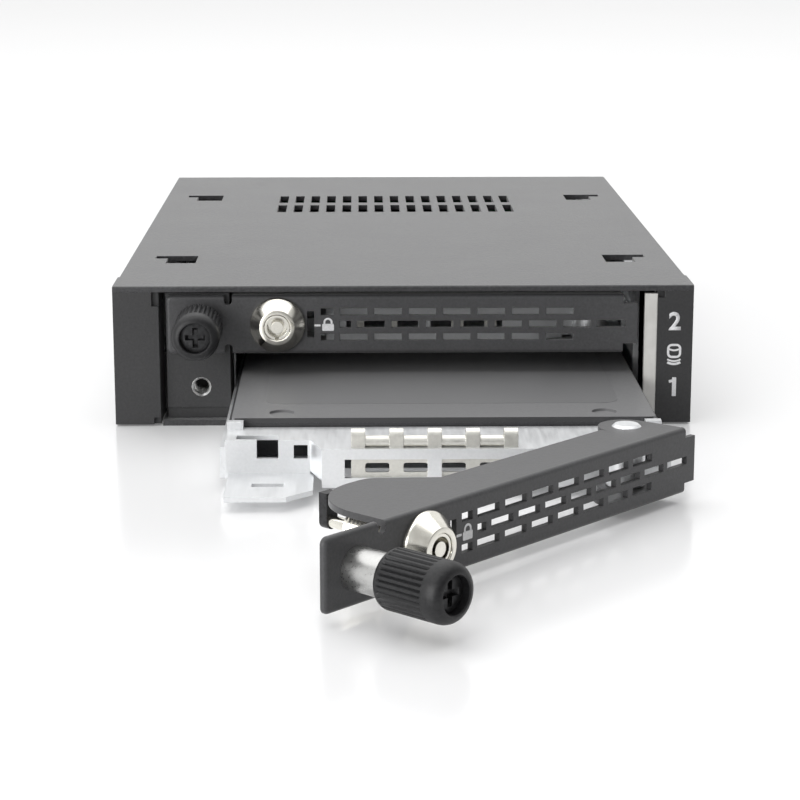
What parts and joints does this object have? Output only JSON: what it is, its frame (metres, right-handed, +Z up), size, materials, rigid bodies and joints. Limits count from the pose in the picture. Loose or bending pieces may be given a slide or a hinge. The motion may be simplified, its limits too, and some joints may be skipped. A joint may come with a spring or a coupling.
{
  "type": "drive rack with hinged bay covers",
  "caption": "Flat drive rack with stacked sliding trays, each behind a hinged grille cover with a cam lock and a captive thumbscrew; one tray is drawn out with its cover open.",
  "frame": {"origin": "middle of the underside of the base pan", "axes": "+X right seen from the front, +Y to the back, +Z up"},
  "size_m": [0.1016, 0.2661, 0.025],
  "materials": {
    "rack_paint": "satin textured dark grey paint",
    "bezel_plastic": "satin dark grey",
    "zinc_steel": "bright zinc plate",
    "chrome": "polished",
    "satin_steel": "turned satin steel",
    "knob_metal": "black anodised",
    "black_steel": "blacked steel",
    "guide_plastic": "milky clear",
    "lamp": "clear lens",
    "board": "solder mask",
    "port_plastic": "moulded black",
    "drive_shell": "satin"
  },
  "bodies": {
    "chassis": {"base_pan": "rack_paint", "top_cover": "rack_paint", "cover_screws": "black_steel", "left_bezel": "bezel_plastic", "right_bezel": "bezel_plastic", "bezel_screws": "satin_steel", "light_guide": "guide_plastic", "indicator_lamps": "lamp", "indicator_board": "board", "screw_block": "bezel_plastic", "screw_inserts": "satin_steel", "left_bay_wall": "zinc_steel", "right_bay_wall": "zinc_steel", "backplane_board": "board", "backplane_standoffs": "satin_steel", "backplane_screws": "satin_steel", "drive_sockets": "port_plastic", "data_ports": "port_plastic", "power_port": "port_plastic", "rear_panel": "rack_paint", "rear_panel_screws": "black_steel"},
    "upper_tray": {"upper_tray_pan": "zinc_steel", "upper_tray_front": "zinc_steel", "upper_tray_rivets": "zinc_steel", "upper_contact_fingers": "zinc_steel"},
    "upper_cover": {"upper_bay_cover": "rack_paint", "upper_hinge_pin": "satin_steel", "upper_lock_housing": "chrome", "upper_lock_nut": "satin_steel", "upper_screw_ferrule": "satin_steel"},
    "upper_lock": {"upper_lock_plug": "chrome", "upper_lock_cam": "satin_steel"},
    "upper_push": {"upper_spring_collar": "satin_steel", "upper_knob_spring": "satin_steel"},
    "upper_knob": {"upper_thumb_knob": "knob_metal", "upper_knob_screw": "satin_steel"},
    "lower_tray": {"lower_tray_pan": "zinc_steel", "lower_tray_front": "zinc_steel", "lower_tray_rivets": "zinc_steel", "lower_contact_fingers": "zinc_steel", "lower_drive_case": "drive_shell", "lower_drive_lid": "drive_shell", "lower_drive_plug": "port_plastic", "lower_drive_screws": "satin_steel"},
    "lower_cover": {"lower_bay_cover": "rack_paint", "lower_hinge_pin": "satin_steel", "lower_lock_housing": "chrome", "lower_lock_nut": "satin_steel", "lower_screw_ferrule": "satin_steel"},
    "lower_lock": {"lower_lock_plug": "chrome", "lower_lock_cam": "satin_steel"},
    "lower_push": {"lower_spring_collar": "satin_steel", "lower_knob_spring": "satin_steel"},
    "lower_knob": {"lower_thumb_knob": "knob_metal", "lower_knob_screw": "satin_steel"}
  },
  "joints": [
    {"name": "upper_tray_slide", "type": "slide", "parent": "chassis", "child": "upper_tray", "axis": [0, -1, 0], "range_m": [0, 0.135]},
    {"name": "upper_cover_hinge", "type": "hinge", "parent": "upper_tray", "child": "upper_cover", "pos_m": [0.0334, -0.065, 0.0181], "axis": [0, 0, 1], "range_deg": [0, 75]},
    {"name": "upper_lock_turn", "type": "hinge", "parent": "upper_cover", "child": "upper_lock", "pos_m": [-0.0221, -0.0725, 0.0181], "axis": [0, -1, 0], "range_deg": [0, 90]},
    {"name": "upper_knob_slide", "type": "slide", "parent": "upper_cover", "child": "upper_push", "axis": [0, -1, 0], "range_m": [0, 0.0048], "deforming": ["upper_knob_spring"]},
    {"name": "upper_knob_turn", "type": "hinge", "parent": "upper_push", "child": "upper_knob", "pos_m": [-0.0357, -0.0725, 0.0181], "axis": [0, -1, 0], "continuous": true},
    {"name": "lower_tray_slide", "type": "slide", "parent": "chassis", "child": "lower_tray", "axis": [0, -1, 0], "range_m": [-0.0455, 0.077]},
    {"name": "lower_cover_hinge", "type": "hinge", "parent": "lower_tray", "child": "lower_cover", "pos_m": [0.0334, -0.123, 0.00675], "axis": [0, 0, 1], "range_deg": [-47, 28]},
    {"name": "lower_lock_turn", "type": "hinge", "parent": "lower_cover", "child": "lower_lock", "pos_m": [0.00103, -0.1687, 0.00675], "axis": [0.7314, -0.682, 0], "range_deg": [0, 90]},
    {"name": "lower_knob_slide", "type": "slide", "parent": "lower_cover", "child": "lower_push", "axis": [0.7314, -0.682, 0], "range_m": [-0.0048, 0], "stiffness_N_per_m": 200, "springref_m": 0.004, "deforming": ["lower_knob_spring"]},
    {"name": "lower_knob_turn", "type": "hinge", "parent": "lower_push", "child": "lower_knob", "pos_m": [-0.00824, -0.17865, 0.00675], "axis": [0.7314, -0.682, 0], "continuous": true}
  ]
}
